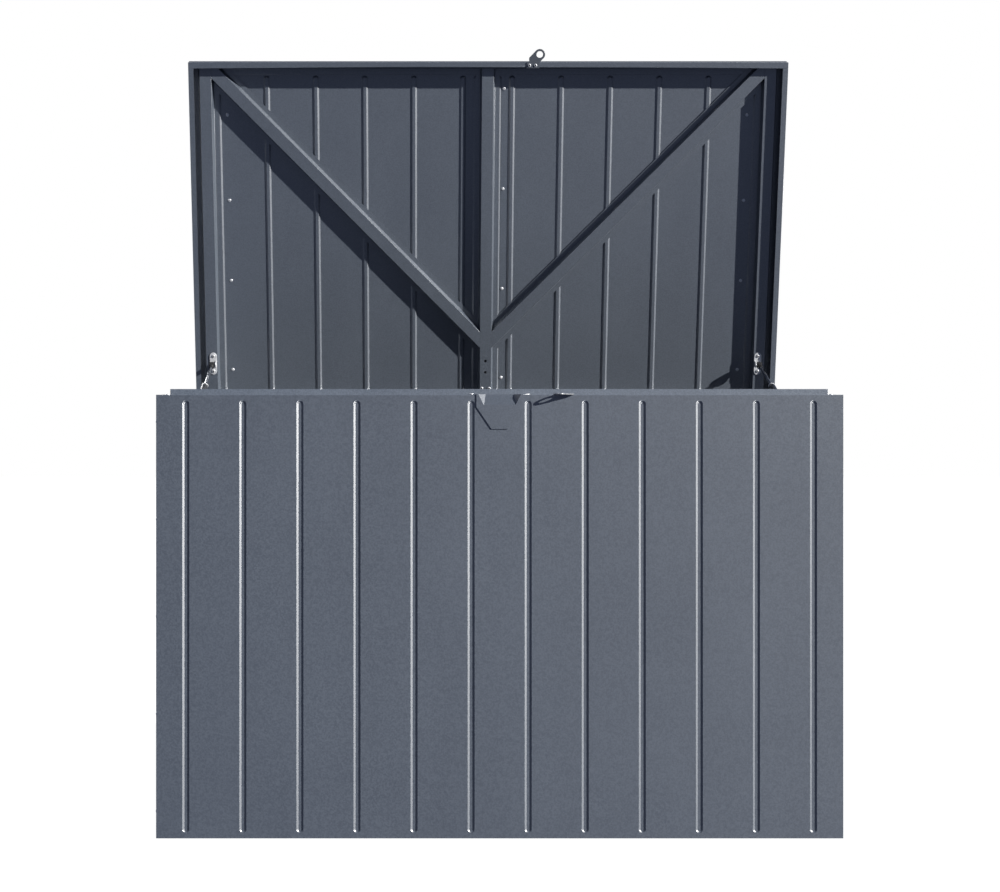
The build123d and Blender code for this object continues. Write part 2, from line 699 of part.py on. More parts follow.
bend_y = -half_d - 2 * sheet
front_bend = Plane(origin=(eyelet_x, bend_y, box_height), x_dir=(-1, 0, 0), z_dir=(0, 0, 1))
base_left, base_right = front_eyelet_base
with BuildPart() as front_eyelet:
    base_back = -half_d + rail_width - sheet - gap
    block(eyelet_x + base_left, eyelet_x + base_right, bend_y, base_back, box_height, front_eyelet_top)
    drill(front_eyelet_seats)
    add(eyelet_neck(front_bend, -base_right, -base_left, front_eyelet_reach - 2 * sheet))
save(front_eyelet, "front_eyelet")

base_left, base_right = lid_eyelet_base
with BuildPart() as lid_eyelet:
    base_back = web_front + front_lip - sheet
    block(eyelet_x + base_left, eyelet_x + base_right, web_front, base_back, lip_z - eyelet_sheet, lip_z)
    drill(lid_eyelet_seats)
    lid_bend = Plane(origin=(eyelet_x, web_front, lip_z), x_dir=(1, 0, 0), z_dir=(0, 0, -1))
    add(eyelet_neck(lid_bend, lid_eyelet_neck, base_right, lid_eyelet_reach))
save(lid_eyelet, "lid_eyelet", lid_swing)

# Gas struts
on_end = (Align.CENTER, Align.CENTER, Align.MIN)


def strut_end(ball, direction):
    """Ball socket of a strut: a bored eye across X with a round neck along the strut."""
    with BuildPart() as socket:
        with Locations(Plane(origin=ball, x_dir=(1, 0, 0), z_dir=direction).location):
            Cylinder(socket_neck, socket_length, align=on_end)
            Cylinder(socket_radius, 2 * socket_half, rotation=(0, 90, 0))
            Cylinder(ball_radius + ball_fit, 4 * socket_half, rotation=(0, 90, 0), mode=Mode.SUBTRACT)
    return socket


def ball_stud(ball, shank_to, outward):
    """Ball on a short shank that ends at the X given."""
    length = abs(shank_to - ball[0])
    shoulder = ball_radius * cos(asin(stud_radius / ball_radius))
    with BuildPart() as stud:
        with BuildSketch(Plane(origin=ball, x_dir=(outward, 0, 0), z_dir=(0, 1, 0))):
            with BuildLine():
                top = ThreePointArc((-ball_radius, 0), (0, ball_radius), (shoulder, stud_radius))
                Polyline(top @ 1, (length, stud_radius), (length, 0), (-ball_radius, 0))
            make_face()
        revolve(axis=Axis(ball, (1, 0, 0)))
    return stud


tab_in = strut_x - socket_half - socket_gap - bracket_sheet  # inner face of the lid bracket's upright tab
tab_face = tab_in + bracket_sheet
for side, name in ((-1, "left"), (1, "right")):
    upper_ball = (side * strut_x, ball_y, ball_z)
    lower_ball = (side * strut_x, wall_ball_y, wall_ball_z)
    downhill = Vector(0, wall_ball_y - ball_y, wall_ball_z - ball_z).normalized()
    uphill = -downhill

    rod_socket = strut_end(upper_ball, downhill)
    save(rod_socket, f"{name}_strut_rod_socket")
    tube_socket = strut_end(lower_ball, uphill)
    save(tube_socket, f"{name}_strut_tube_socket")

    rod_start = Vector(*upper_ball) + downhill * socket_length
    rod_end_along = strut_open - socket_length - tube_length + rod_overlap
    with BuildPart() as strut_rod:
        with Locations(Plane(origin=rod_start, x_dir=(1, 0, 0), z_dir=downhill).location):
            Cylinder(rod_radius, rod_end_along - socket_length, align=on_end)
    save(strut_rod, f"{name}_strut_rod")

    tube_start = Vector(*lower_ball) + uphill * socket_length
    with BuildPart() as strut_tube:
        with Locations(Plane(origin=tube_start, x_dir=(1, 0, 0), z_dir=uphill).location):
            Cylinder(tube_radius, tube_length, align=on_end)
        bore_start = tube_start + uphill * tube_end_wall
        bore_length = tube_length - tube_end_wall - tube_gland
        with Locations(Plane(origin=bore_start, x_dir=(1, 0, 0), z_dir=uphill).location):
            Cylinder(tube_radius - tube_wall, bore_length, align=on_end, mode=Mode.SUBTRACT)
            Cylinder(rod_radius + rod_fit, tube_length, align=on_end, mode=Mode.SUBTRACT)
    save(strut_tube, f"{name}_strut_tube")

    upper_stud = ball_stud(upper_ball, side * (tab_face + open_pivot_gap), -side)
    save(upper_stud, f"{name}_lid_ball_stud")
    lower_stud = ball_stud(lower_ball, side * (post_face_x - bracket_sheet), side)
    save(lower_stud, f"{name}_wall_ball_stud")

    with BuildPart() as wall_bracket:
        bracket_centre = (side * post_face_x, wall_ball_y, wall_ball_z)
        on_wall = Plane(origin=bracket_centre, x_dir=(0, 1, 0), z_dir=(-side, 0, 0))
        with BuildSketch(on_wall):
            SlotOverall(bracket_pitch + 2 * bracket_lobe, 2 * bracket_lobe, rotation=90)
        extrude(amount=bracket_sheet)
        drill(wall_bracket_holes(side))
    save(wall_bracket, f"{name}_strut_wall_bracket")

    with BuildPart() as lid_bracket:
        bracket_centre = (side * bracket_x, -lid_ball_r, hat_face_z)
        on_post = Plane(origin=bracket_centre, x_dir=(1, 0, 0), z_dir=(0, 0, -1))
        with BuildSketch(on_post):
            SlotOverall(bracket_pitch + 2 * bracket_lobe, 2 * bracket_lobe, rotation=90)
            with Locations((side * (tab_in - bracket_x) / 2, 0)):
                Rectangle(bracket_x - tab_in, 2 * tab_half_width)
        extrude(amount=bracket_sheet)
        tab_centre = (side * tab_in, -lid_ball_r, lid_ball_z)
        tab_plane = Plane(origin=tab_centre, x_dir=(0, 1, 0), z_dir=(side, 0, 0))
        with BuildSketch(tab_plane):
            Circle(tab_half_width)
            with Locations((0, side * ball_stand / 2)):
                Rectangle(2 * tab_half_width, ball_stand)
        extrude(amount=bracket_sheet)
        drill([seat(side * bracket_x, -lid_ball_r + dy, hat_face_z, (0, 0, -1)) for dy in bracket_screws])
    save(lid_bracket, f"{name}_strut_lid_bracket", lid_swing)

# Screws
wall_bracket_seats = wall_bracket_holes(-1, bracket_sheet) + wall_bracket_holes(1, bracket_sheet)
lid_bracket_seats = [
    seat(side * bracket_x, -lid_ball_r + dy, hat_face_z - bracket_sheet, (0, 0, -1))
    for side in (-1, 1)
    for dy in bracket_screws
]
box_seats = flange_seats + tab_seats + front_eyelet_seats + corner_seats
box_seats += box_hinge_seats + wall_bracket_seats
lid_seats = lid_hinge_seats + post_seats + lid_bracket_seats + lid_eyelet_seats
save(screw_group(box_seats), "box_screws")
save(screw_group(lid_seats), "lid_screws", lid_swing)
save(screw_group(rivet_seats, sheet), "lid_rivets", lid_swing)
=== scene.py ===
import json
import math
import bmesh
import bpy
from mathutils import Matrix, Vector


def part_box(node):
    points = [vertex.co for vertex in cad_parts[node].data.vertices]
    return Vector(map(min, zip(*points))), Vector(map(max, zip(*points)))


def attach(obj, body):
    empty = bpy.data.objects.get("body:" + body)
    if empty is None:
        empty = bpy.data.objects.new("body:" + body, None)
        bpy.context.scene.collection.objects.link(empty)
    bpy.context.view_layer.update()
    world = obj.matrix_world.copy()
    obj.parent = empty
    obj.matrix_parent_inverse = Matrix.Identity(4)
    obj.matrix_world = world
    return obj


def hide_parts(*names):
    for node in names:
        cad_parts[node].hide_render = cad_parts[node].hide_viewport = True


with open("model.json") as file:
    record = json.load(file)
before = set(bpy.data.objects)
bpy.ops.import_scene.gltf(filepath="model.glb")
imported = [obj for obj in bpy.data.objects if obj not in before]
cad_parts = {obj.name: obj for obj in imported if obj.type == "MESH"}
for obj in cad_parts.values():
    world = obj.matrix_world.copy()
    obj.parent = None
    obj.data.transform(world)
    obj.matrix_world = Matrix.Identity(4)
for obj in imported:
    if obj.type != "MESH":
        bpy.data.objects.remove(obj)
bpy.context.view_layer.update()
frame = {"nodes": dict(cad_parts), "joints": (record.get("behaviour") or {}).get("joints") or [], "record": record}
nodes = frame["nodes"]
jointOf = {joint["name"]: joint for joint in frame["joints"]}
print("frame loaded:", len(nodes), "nodes")


# materials
def newMaterial(name):
    mat = bpy.data.materials.new(name)
    mat.use_nodes = True
    tree = mat.node_tree
    shader = tree.nodes["Principled BSDF"]
    coords = tree.nodes.new("ShaderNodeTexCoord")
    return mat, tree, shader, coords.outputs["Object"]


def addNoise(tree, coords, scale, detail=2.0, roughness=0.5, stretch=None):
    source = coords
    if stretch is not None:
        mapping = tree.nodes.new("ShaderNodeMapping")
        mapping.inputs["Scale"].default_value = stretch
        tree.links.new(coords, mapping.inputs["Vector"])
        source = mapping.outputs["Vector"]
    noise = tree.nodes.new("ShaderNodeTexNoise")
    noise.inputs["Scale"].default_value = scale
    noise.inputs["Detail"].default_value = detail
    noise.inputs["Roughness"].default_value = roughness
    tree.links.new(source, noise.inputs["Vector"])
    return noise.outputs["Fac"]


def addRange(tree, value, low, high, outLow, outHigh):
    ramp = tree.nodes.new("ShaderNodeMapRange")
    ramp.inputs["From Min"].default_value = low
    ramp.inputs["From Max"].default_value = high
    ramp.inputs["To Min"].default_value = outLow
    ramp.inputs["To Max"].default_value = outHigh
    tree.links.new(value, ramp.inputs["Value"])
    return ramp.outputs["Result"]


def addMix(tree, factor, first, second):
    mix = tree.nodes.new("ShaderNodeMix")
    mix.data_type = "RGBA"
    for socket, value in (("Factor", factor), ("A", first), ("B", second)):
        colour = socket != "Factor"
        target = next(s for s in mix.inputs if s.name == socket and (s.type == "RGBA") == colour)
        if isinstance(value, bpy.types.NodeSocket):
            tree.links.new(value, target)
        elif socket == "Factor":
            target.default_value = value
        else:
            target.default_value = (*value, 1.0)
    return next(s for s in mix.outputs if s.type == "RGBA")


def addMath(tree, operation, first, second):
    node = tree.nodes.new("ShaderNodeMath")
    node.operation = operation
    for i, value in enumerate((first, second)):
        if isinstance(value, bpy.types.NodeSocket):
            tree.links.new(value, node.inputs[i])
        else:
            node.inputs[i].default_value = value
    return node.outputs["Value"]


def addBump(tree, shader, height, distance, strength):
    bump = tree.nodes.new("ShaderNodeBump")
    bump.inputs["Distance"].default_value = distance
    bump.inputs["Strength"].default_value = strength
    tree.links.new(height, bump.inputs["Height"])
    tree.links.new(bump.outputs["Normal"], shader.inputs["Normal"])


def edgeMask(tree, radius, low=0.02, high=0.3):
    # how far the rounded normal leans from the true one: high only along edges
    bevel = tree.nodes.new("ShaderNodeBevel")
    bevel.samples = 4
    bevel.inputs["Radius"].default_value = radius
    geometry = tree.nodes.new("ShaderNodeNewGeometry")
    dot = tree.nodes.new("ShaderNodeVectorMath")
    dot.operation = "DOT_PRODUCT"
    tree.links.new(bevel.outputs["Normal"], dot.inputs[0])
    tree.links.new(geometry.outputs["Normal"], dot.inputs[1])
    lean = addMath(tree, "SUBTRACT", 1.0, dot.outputs["Value"])
    return addRange(tree, lean, low, high, 0.0, 1.0)


noiseSpan = (0.3, 0.7)  # where nearly all of a noise texture's values lie
noiseCore = (0.35, 0.65)

powderCoat = {
    "colour": (0.032, 0.043, 0.061),
    "pale": (0.077, 0.094, 0.119),
    "worn": (0.13, 0.145, 0.17),
    "grainScale": 1100.0,
    "fleckScale": 300.0,
    "fleckShare": 0.66,
    "fleckSpan": (0.42, 0.58),  # narrow, so the flecks stay crisp
    "cloudScale": 3.1,
    "cloudShare": 0.22,
    "streakScale": 9.0,
    "streakStretch": (1.0, 1.0, 0.12),  # drawn out along Z
    "streakShare": 0.12,
    "edgeRadius": 0.0012,
    "wearSpan": (0.3, 0.6),
    "leastWear": 0.2,
    "grainHeight": 0.00012,
    "cloudHeight": 0.6,  # times the grain's
    "bump": 0.55,
    "roughness": (0.36, 0.5),
    "specular": 1.0,
    "ior": 1.9,
}


def makePowderCoat(name, toneAndSheen=1.0, wear=0.35, values=powderCoat):
    # toneAndSheen scales all the coat's colours: below one it gives a darker tone, and above one it gives a
    # painted sheen
    mat, tree, shader, coords = newMaterial(name)
    grain = addNoise(tree, coords, values["grainScale"], 3.0, 0.6)
    fleck = addNoise(tree, coords, values["fleckScale"], 3.0, 0.7)
    cloud = addNoise(tree, coords, values["cloudScale"], 4.0, 0.55)
    streak = addNoise(tree, coords, values["streakScale"], 3.0, 0.6, values["streakStretch"])
    base, pale, worn = ([c * toneAndSheen for c in values[key]] for key in ("colour", "pale", "worn"))
    clouded = addRange(tree, cloud, *noiseSpan, 0.0, values["cloudShare"])
    streaked = addRange(tree, streak, *noiseSpan, 0.0, values["streakShare"])
    flecked = addRange(tree, fleck, *values["fleckSpan"], 0.0, values["fleckShare"])
    spread = addMath(tree, "ADD", addMath(tree, "ADD", clouded, streaked), flecked)
    rubbed = addRange(tree, fleck, *values["wearSpan"], values["leastWear"] * wear, wear)
    edge = addMath(tree, "MULTIPLY", edgeMask(tree, values["edgeRadius"]), rubbed)
    body = addMix(tree, spread, base, pale)
    tree.links.new(addMix(tree, edge, body, worn), shader.inputs["Base Color"])
    rough = addRange(tree, grain, *noiseSpan, *values["roughness"])
    tree.links.new(rough, shader.inputs["Roughness"])
    shader.inputs["Specular IOR Level"].default_value = values["specular"]
    shader.inputs["IOR"].default_value = values["ior"]
    height = addMath(tree, "ADD", grain, addMath(tree, "MULTIPLY", cloud, values["cloudHeight"]))
    addBump(tree, shader, height, values["grainHeight"], values["bump"])
    return mat


roughSmoother = 0.07  # how far a bare look's roughness goes either way
roughCoarser = 0.1
coatRoughness = 0.2


def makeBare(name, values):
    # bare or painted metal and moulded plastic: fine grain over broad clouds
    mat, tree, shader, coords = newMaterial(name)
    grain = addNoise(tree, coords, values["scale"], 3.0, 0.6)
    cloud = addNoise(tree, coords, values["scale"] * values["cloud"], 3.0, 0.5)
    fine = addRange(tree, grain, *noiseCore, 0.0, 0.5)
    tint = addMath(tree, "ADD", fine, addRange(tree, cloud, *noiseCore, 0.0, 0.5))
    tree.links.new(addMix(tree, tint, values["colour"], values["pale"]), shader.inputs["Base Color"])
    span = values["roughness"] - roughSmoother, values["roughness"] + roughCoarser
    rough = addRange(tree, grain, *noiseSpan, *span)
    tree.links.new(rough, shader.inputs["Roughness"])
    shader.inputs["Metallic"].default_value = values["metallic"]
    shader.inputs["Coat Weight"].default_value = values["coat"]
    shader.inputs["Coat Roughness"].default_value = coatRoughness
    addBump(tree, shader, grain, values["bump"], 0.5)
    return mat


def bare(colour, pale, roughness, scale, bump, metallic=1.0, coat=0.0, cloud=0.07):
    return {"colour": colour, "pale": pale, "roughness": roughness, "scale": scale, "bump": bump,
            "metallic": metallic, "coat": coat, "cloud": cloud}


bareLooks = {
    "rivet": bare((0.5, 0.51, 0.53), (0.76, 0.77, 0.78), 0.36, 800, 0.00004, metallic=0.5),
    "zincScrew": bare((0.6, 0.61, 0.63), (0.82, 0.83, 0.84), 0.34, 900, 0.00004, metallic=0.55),
    "zincBracket": bare((0.58, 0.59, 0.61), (0.84, 0.85, 0.86), 0.4, 500, 0.00006, metallic=0.4),
    # painted shade: a near-black finish for the screw heads' cross recesses, standing in for the shade inside them
    "paintedRecessShade": bare((0.03, 0.031, 0.033), (0.07, 0.071, 0.075), 0.6, 900, 0.00004, metallic=0.3),
    "hinge": bare((0.34, 0.35, 0.37), (0.52, 0.53, 0.55), 0.4, 600, 0.00006),
    "stud": bare((0.5, 0.5, 0.51), (0.7, 0.7, 0.71), 0.26, 500, 0.00003),
    "rod": bare((0.4, 0.42, 0.46), (0.6, 0.62, 0.66), 0.2, 300, 0.00002),
    "tube": bare((0.012, 0.012, 0.013), (0.026, 0.026, 0.028), 0.3, 700, 0.00004,
                 metallic=0.0, coat=1.0),
    "socket": bare((0.013, 0.013, 0.014), (0.024, 0.024, 0.025), 0.48, 1400, 0.00005, metallic=0.0),
}
finish = {name: makeBare(name, values) for name, values in bareLooks.items()}
finish["box"] = makePowderCoat("boxPowderCoat")
finish["lid"] = makePowderCoat("lidPowderCoat")
finish["floor"] = makePowderCoat("floorPowderCoat", wear=0.5)
finish["eyelet"] = makePowderCoat("eyeletCoat", toneAndSheen=0.55, wear=0.7)
# painted sheen: the rails take a copy of the same powder coat made half again as bright, standing in for the light
# they catch
finish["rail"] = makePowderCoat("railPaintedSheenCoat", toneAndSheen=1.5)
print("materials made:", len(finish))


# shared mesh steps
def faceSpan(face, edge):
    # how wide a face is, measured square to one of its edges
    origin = edge.verts[0].co
    direction = (edge.verts[1].co - origin).normalized()
    outs = [v.co - origin for v in face.verts]
    return max((out - direction * out.dot(direction)).length for out in outs)


def bevelEdges(mesh, edges, radius, segments):
    rounded = bmesh.ops.bevel(mesh, geom=edges, offset=radius, offset_type="OFFSET", segments=segments,
                              profile=0.5, affect="EDGES", clamp_overlap=True, material=-1)
    for face in rounded["faces"]:
        face.smooth = True


def roundEdges(mesh, foldRadius, rimRadius, foldSpan=0.0024, foldSegments=3, rimSegments=2):
    # wide faces meet in a rolled fold, and the sheet's own thin edges only get a burr's worth
    corner = math.radians(20)
    sharp = [e for e in mesh.edges if len(e.link_faces) == 2 and e.calc_face_angle(0.0) > corner]
    folds = [e for e in sharp if min(faceSpan(f, e) for f in e.link_faces) > foldSpan]
    foldSet = set(folds)
    bevelEdges(mesh, folds, foldRadius, foldSegments)
    rims = [e for e in sharp if e not in foldSet and e.is_valid]
    bevelEdges(mesh, [e for e in rims if len(e.link_faces) == 2], rimRadius, rimSegments)


def smoothCurved(mesh, largest=4e-4):
    for edge in mesh.edges:
        if len(edge.link_faces) == 2 and 0.005 < edge.calc_face_angle(0.0) < math.radians(25):
            for face in edge.link_faces:
                if face.calc_area() < largest:
                    face.smooth = True


def flattenWide(mesh, widest=0.0045):
    for face in mesh.faces:
        if face.calc_area() > widest * max(e.calc_length() for e in face.edges):
            face.smooth = False


def finishPiece(mesh, name, body, material, stands):
    data = bpy.data.meshes.new(name)
    mesh.to_mesh(data)
    mesh.free()
    data.materials.append(material)
    piece = bpy.data.objects.new(name, data)
    bpy.context.scene.collection.objects.link(piece)
    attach(piece, body)
    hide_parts(*stands)
    return piece


def mergedCopy(node):
    mesh = bmesh.new()
    mesh.from_mesh(nodes[node].data)
    bmesh.ops.remove_doubles(mesh, verts=mesh.verts, dist=2e-6)
    flat = math.radians(0.4)
    bmesh.ops.dissolve_limit(mesh, angle_limit=flat, verts=mesh.verts, edges=mesh.edges, delimit=set())
    mesh.normal_update()
    return mesh


bodyOf = {n: b for b, members in frame["record"]["behaviour"]["bodies"].items() for n in members}


def softened(node, look, foldRadius, rimRadius=0.00028):
    mesh = mergedCopy(node)
    roundEdges(mesh, foldRadius, rimRadius)
    smoothCurved(mesh)
    flattenWide(mesh)
    return finishPiece(mesh, node + "Finished", bodyOf[node], finish[look], [node])


# folded and ribbed sheets
sheetWork = {
    "ribRadius": 0.0022,
    "foldRadius": 0.0014,
    "postRadius": 0.0018,
    "angleRadius": 0.0014,
}
ribbed = ["front_panel", "rear_panel", "left_side_panel", "right_side_panel"]
for node in ribbed:
    softened(node, "box", sheetWork["ribRadius"])
softened("floor_panel", "floor", sheetWork["ribRadius"])
for node in ("lid_skin_left", "lid_skin_right"):
    softened(node, "lid", sheetWork["ribRadius"])
print("ribbed sheets rounded")

plain = [n for n in nodes if n.endswith(("corner_post", "top_rail", "floor_angle"))]
for node in plain:
    # the top rails take the brighter painted-sheen copy of the coat
    look = "floor" if node.endswith("floor_angle") else "rail" if node.endswith("rail") else "box"
    softened(node, look, sheetWork["angleRadius"])
for node in ("lid_front_rim", "lid_rear_rim", "lid_left_rim", "lid_right_rim"):
    softened(node, "lid", sheetWork["foldRadius"])
posts = ["lid_left_post", "lid_centre_post", "lid_right_post", "lid_left_brace", "lid_right_brace"]
for node in posts:
    softened(node, "lid", sheetWork["postRadius"])
for node in ("left_side_post", "right_side_post"):
    softened(node, "box", sheetWork["postRadius"])
print("rails, rims and posts rounded")

# fittings
fittingWork = {
    "plateRadii": (0.0006, 0.0003),  # fold, rim
    "eyeletRadii": (0.0006, 0.0006),
    "bracketRadii": (0.0005, 0.0005),
    "leafRadii": (0.0005, 0.0004),
    "socketRadii": (0.0011, 0.0006),
}
softened("finger_plate", "box", *fittingWork["plateRadii"])
for node in ("front_eyelet", "lid_eyelet"):
    softened(node, "eyelet", *fittingWork["eyeletRadii"])
for side in ("left", "right"):
    softened(f"{side}_strut_wall_bracket", "zincBracket", *fittingWork["bracketRadii"])
    softened(f"{side}_strut_lid_bracket", "zincBracket", *fittingWork["bracketRadii"])
for place in ("left", "centre", "right"):
    softened(f"{place}_hinge_box_leaf", "hinge", *fittingWork["leafRadii"])
    softened(f"{place}_hinge_lid_leaf", "hinge", *fittingWork["leafRadii"])
print("fittings rounded")

# screws, rivets and pins, each put where the frame has one
screwHead = {
    "radius": 0.0045,
    "height": 0.002,
    "shank": 0.0019,
    "shankLength": 0.0062,
    "recessArm": 0.0023,
    "recessDepth": 0.0012,
    "cross": (1.0, 1.035, 0.54, 0.38, 0.54, 1.035),  # the recess's reach at every 15 degrees
    "bottomShare": 0.8,
    # how far out from the axis the painted recess shade reaches, as a share of the recess arm
    "paintedShadeShare": 0.9,
    "outline": ((0.97, 0.0), (1.0, 0.1), (1.0, 0.35), (0.94, 0.68), (0.8, 0.92), (0.64, 1.0)),
    "steps": 24,
}
rivetHead = {
    "radius": 0.0045,
    "height": 0.0019,
    "stem": 0.0016,
    "stemLength": 0.0009,
    "dimple": 0.0013,
    "dimpleDepth": 0.0005,
    "dimpleOutline": ((1.25, 1.0), (1.0, 0.97)),
    "bottomShare": 0.8,
    "outline": ((0.98, 0.0), (1.0, 0.12), (0.93, 0.5), (0.72, 0.86)),
    "steps": 24,
}


def fasteners(node):
    # seat, outward direction and points of each loose fastener in a CAD group, in a fixed order
    mesh = mergedCopy(node)
    left, found = set(mesh.faces), []
    for first in mesh.faces:
        if first not in left:
            continue
        left.remove(first)
        stack, group = [first], []
        while stack:
            face = stack.pop()
            group.append(face)
            for edge in face.edges:
                for other in edge.link_faces:
                    if other in left:
                        left.remove(other)
                        stack.append(other)
        points = [Vector(p) for p in sorted({tuple(v.co) for f in group for v in f.verts})]
        centre = sum(points, Vector()) / len(points)
        areas = {}
        for face in group:
            key = tuple(round(c, 2) for c in face.normal)
            areas[key] = areas.get(key, 0.0) + face.calc_area()
        inward = max(areas, key=areas.get)
        levels = {}
        for face in group:
            if (face.normal - Vector(inward)).length < 0.05:
                key = round(face.calc_center_median().dot(face.normal), 5)
                levels[key] = levels.get(key, 0.0) + face.calc_area()
                exact = face.normal.copy()
        seat = centre + exact * (max(levels, key=levels.get) - centre.dot(exact))
        found.append((seat, -exact, points))
    mesh.free()
    return found


def spun(profile, steps, axisPlace, axis):
    # profile: (distance from the axis, height) from the axis out and back to it
    mesh = bmesh.new()
    side = axis.orthogonal().normalized()
    verts = [mesh.verts.new(axisPlace + side * r + axis * h) for r, h in profile]
    edges = [mesh.edges.new(pair) for pair in zip(verts, verts[1:])]
    bmesh.ops.spin(mesh, geom=verts + edges, cent=axisPlace, axis=axis, angle=2 * math.pi, steps=steps,
                   use_merge=True, use_duplicate=False)
    bmesh.ops.remove_doubles(mesh, verts=mesh.verts, dist=1e-6)
    bmesh.ops.recalc_face_normals(mesh, faces=mesh.faces)
    return mesh


def smoothBy(mesh, degrees):
    for face in mesh.faces:
        face.smooth = True
    for edge in mesh.edges:
        if len(edge.link_faces) == 2 and edge.calc_face_angle(0.0) > math.radians(degrees):
            edge.smooth = False


def gather(meshes):
    # several loose meshes as one
    whole = bmesh.new()
    for mesh in meshes:
        part = bpy.data.meshes.new("part")
        mesh.to_mesh(part)
        mesh.free()
        whole.from_mesh(part)
        bpy.data.meshes.remove(part)
    return whole


def crossHead(seat, axis, values=screwHead):
    r, h = values["radius"], values["height"]
    arm, depth = values["recessArm"], values["recessDepth"]
    tip = -values["shankLength"]
    profile = [(0.0, tip), (values["shank"], tip), (values["shank"], 0.0)]
    profile += [(r * a, h * b) for a, b in values["outline"]]
    profile += [(arm, h), (arm * values["bottomShare"], h - depth), (0.0, h - depth)]
    mesh = spun(profile, values["steps"], seat, axis)
    side = axis.orthogonal().normalized()
    other = axis.cross(side)
    for vert in mesh.verts:
        out = vert.co - seat
        level = out.dot(axis)
        out -= axis * level
        inRecess = level > h - depth - 1e-6 and 1e-4 < out.length < arm * 1.02
        if inRecess and (abs(level - h) < 1e-6 or abs(level - h + depth) < 1e-6):
            turn = math.degrees(math.atan2(out.dot(other), out.dot(side)))
            vert.co = seat + axis * level + out * values["cross"][round(turn / 15) % 6]
    # faces well inside the cross recess take the second finish, the painted recess shade
    for face in mesh.faces:
        out = face.calc_center_median() - seat
        level = out.dot(axis)
        if level > h - depth - 1e-5 and (out - axis * level).length < arm * values["paintedShadeShare"]:
            face.material_index = 1
    smoothBy(mesh, 32)
    return mesh


def domedRivet(seat, axis, values=rivetHead):
    r, h, d = values["radius"], values["height"], values["dimple"]
    stem, tip, low = values["stem"], -values["stemLength"], h - values["dimpleDepth"]
    profile = [(0.0, tip), (stem, tip), (stem, 0.0)]
    profile += [(r * a, h * b) for a, b in values["outline"]]
    profile += [(d * a, h * b) for a, b in values["dimpleOutline"]]
    profile += [(d * values["bottomShare"], low), (0.0, low)]
    mesh = spun(profile, values["steps"], seat, axis)
    smoothBy(mesh, 38)
    return mesh


for node in ("box_screws", "lid_screws"):
    heads = [crossHead(seat, axis) for seat, axis, _ in fasteners(node)]
    print(node, len(heads), "heads")
    zinc = finish["zincScrew"]
    screws = finishPiece(gather(heads), node + "Finished", bodyOf[node], zinc, [node])
    # second finish: the painted shade in the cross recesses
    screws.data.materials.append(finish["paintedRecessShade"])
node = "lid_rivets"
rivets = [domedRivet(seat, axis) for seat, axis, _ in fasteners(node)]
finishPiece(gather(rivets), node + "Finished", bodyOf[node], finish["rivet"], [node])

hingePin = {
    "radius": 0.0025,
    "headRadius": 0.004,
    "headLength": 0.0015,
    "outline": ((0.0, 0.0), (0.45, 0.08), (0.8, 0.34), (1.0, 0.8), (1.0, 1.0)),
    "steps": 28,
}


def domedPin(points, values=hingePin):
    low = Vector([min(p[i] for p in points) for i in range(3)])
    high = Vector([max(p[i] for p in points) for i in range(3)])
    length, head, cap = high.x - low.x, values["headRadius"], values["headLength"]
    end = [(a * head, b * cap) for a, b in values["outline"]] + [(values["radius"], cap)]
    profile = end + [(x, length - z) for x, z in reversed(end)]
    start = Vector((low.x, (low.y + high.y) / 2, (low.z + high.z) / 2))
    mesh = spun(profile, values["steps"], start, Vector((1, 0, 0)))
    smoothBy(mesh, 35)
    return mesh


pins = gather([domedPin(points) for _, _, points in fasteners("hinge_pins")])
finishPiece(pins, "hingePinsFinished", "box", finish["stud"], ["hinge_pins"])
print("fasteners made")

# gas struts
gasStrut = {
    "tubeStart": 0.030,
    "tubeLength": 0.235,
    "tubeRadius": 0.009,
    "tubeWall": 0.0015,
    "bareEnd": 0.0095,
    "rodRadius": 0.004,
    "rodFit": 0.00012,
    "rodOutline": ((0.9, 0.0), (1.0, 0.0004)),
    "rodTip": ((1.0, 0.0008), (0.8, 0.0)),
    "footOutline": ((0.6, 0.0), (0.66, 0.0004), (0.72, 0.0022), (0.9, 0.0032),
                    (0.985, 0.0048), (1.0, 0.0068)),  # share of the radius, distance from the end
    "mouthOutline": ((1.0, 0.0092), (0.955, 0.0084), (0.93, 0.0074), (0.955, 0.0064), (1.0, 0.0056),
                     (1.0, 0.0028), (0.96, 0.0012), (0.86, 0.0003), (0.7, 0.0)),
    "endWall": 0.005,
    "boreEdge": 0.0006,
    "gland": 0.006,
    "glandLip": 0.004,
    "ballRadius": 0.005,
    "studRadius": 0.004,
    "neckRadius": 0.0031,
    "ballArc": (180, 38, -12),  # degrees from the shank, first, last and step
    "neckSpan": (0.86, 1.02),  # shares of the ball's radius
    "shoulder": ((0.94, 1.12), (1.0, 1.2)),
    "studTip": ((1.0, 0.0003), (0.92, 0.0)),
    "steps": 40,
}


def boxCentre(node):
    low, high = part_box(node)
    return (low + high) / 2


def strutTube(lower, up, values=gasStrut):
    r, wall, s0 = values["tubeRadius"], values["tubeWall"], values["tubeStart"]
    s1, bore = s0 + values["tubeLength"], values["rodRadius"] + values["rodFit"]
    profile = [(0.0, s0)] + [(r * a, s0 + b) for a, b in values["footOutline"]]
    profile += [(r * a, s1 - b) for a, b in values["mouthOutline"]]
    edge = values["boreEdge"]
    profile += [(bore + edge, s1), (bore, s1 - edge), (bore, s1 - values["glandLip"])]
    floor = s0 + values["endWall"]
    profile += [(r - wall, s1 - values["gland"]), (r - wall, floor), (0.0, floor)]
    mesh = spun(profile, values["steps"], lower, up)
    smoothBy(mesh, 28)
    for face in mesh.faces:
        if (face.calc_center_median() - lower).dot(up) > s1 - values["bareEnd"]:
            face.material_index = 1
    return mesh


